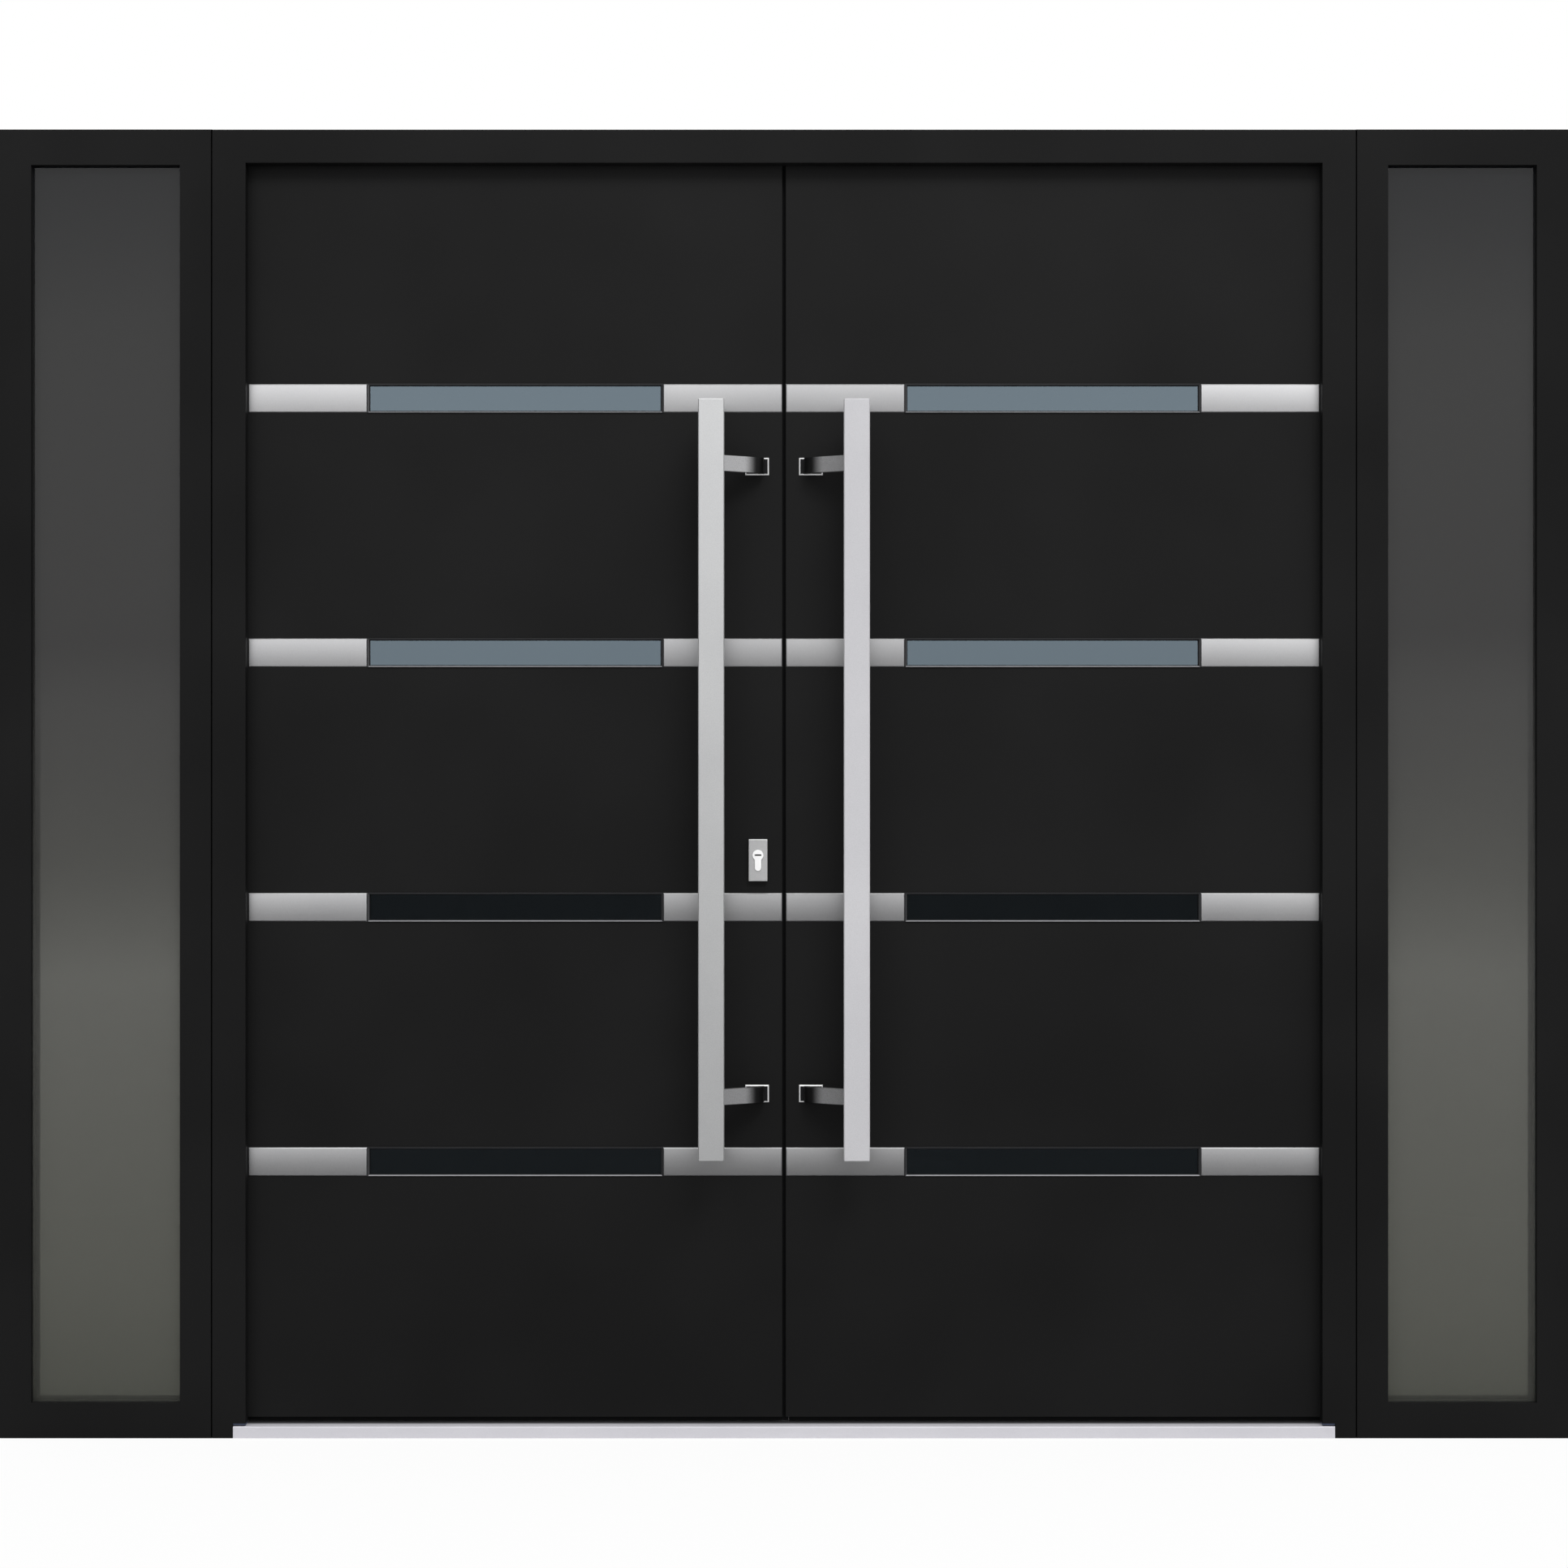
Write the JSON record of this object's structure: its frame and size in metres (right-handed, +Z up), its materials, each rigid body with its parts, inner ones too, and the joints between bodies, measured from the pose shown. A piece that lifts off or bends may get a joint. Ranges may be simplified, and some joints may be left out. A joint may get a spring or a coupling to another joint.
{
  "type": "double entry door with sidelights",
  "caption": "Double entry door with dark metal leaves, brushed steel strips and narrow windows, long pull bars, and a tall glazed sidelight on each side.",
  "frame": {"origin": "under the middle of the threshold, on the floor, halfway through the depth of the door frame", "axes": "+X across the doorway to the right as seen from outside, +Y inwards through the wall, +Z up; the outside face looks towards -Y"},
  "size_m": [2.438, 0.213, 2.032],
  "materials": {
    "frame_paint": "matt dark grey powder coat",
    "leaf_paint": "matt dark grey powder coat",
    "leaf_filling": "rigid foam and steel core",
    "satin_steel": "brushed",
    "bright_steel": "polished",
    "sill_aluminium": "satin anodised",
    "window_aluminium": "dark anodised",
    "spacer_aluminium": "mill",
    "glass": "tinted, polished",
    "seal_rubber": "matt",
    "block_plastic": "moulded"
  },
  "bodies": {
    "frame": {"left_jamb": "frame_paint", "right_jamb": "frame_paint", "head": "frame_paint", "frame_seal": "seal_rubber", "threshold": "sill_aluminium", "threshold_end_blocks": "block_plastic", "frame_hinge_halves": "satin_steel", "sidelight_spacers": "spacer_aluminium", "sidelight_gaskets": "seal_rubber", "sidelight_beads": "frame_paint", "left_sidelight_stiles": "frame_paint", "left_sidelight_rails": "frame_paint", "sidelight_glass": "glass", "right_sidelight_stiles": "frame_paint", "right_sidelight_rails": "frame_paint"},
    "left_leaf": {"left_leaf_core": "leaf_filling", "left_leaf_outer_skin": "leaf_paint", "left_leaf_inner_skin": "leaf_paint", "left_leaf_inlays": "satin_steel", "left_leaf_window_frames": "window_aluminium", "left_leaf_glass": "glass", "left_leaf_foot_seal": "seal_rubber", "left_leaf_hinge_halves": "satin_steel", "left_pull_bar": "satin_steel", "left_pull_arms": "satin_steel", "left_pull_feet": "satin_steel", "left_leaf_meeting_seal": "seal_rubber", "left_leaf_lock_cylinder": "bright_steel", "left_leaf_escutcheons": "satin_steel", "left_leaf_lever": "satin_steel", "left_leaf_lock_rail": "satin_steel", "left_leaf_bolts": "bright_steel"},
    "right_leaf": {"right_leaf_core": "leaf_filling", "right_leaf_outer_skin": "leaf_paint", "right_leaf_inner_skin": "leaf_paint", "right_leaf_inlays": "satin_steel", "right_leaf_window_frames": "window_aluminium", "right_leaf_glass": "glass", "right_leaf_foot_seal": "seal_rubber", "right_leaf_hinge_halves": "satin_steel", "right_pull_bar": "satin_steel", "right_pull_arms": "satin_steel", "right_pull_feet": "satin_steel", "right_leaf_strike_rail": "satin_steel", "right_leaf_flush_bolts": "satin_steel"}
  },
  "joints": [
    {"name": "left_leaf_swing", "type": "hinge", "parent": "frame", "child": "left_leaf", "pos_m": [-0.853, 0.062, 0], "axis": [0, 0, 1], "range_deg": [0, 100], "deforming": ["left_leaf_meeting_seal"]},
    {"name": "right_leaf_swing", "type": "hinge", "parent": "frame", "child": "right_leaf", "pos_m": [0.853, 0.062, 0], "axis": [0, 0, -1], "range_deg": [0, 100]}
  ]
}
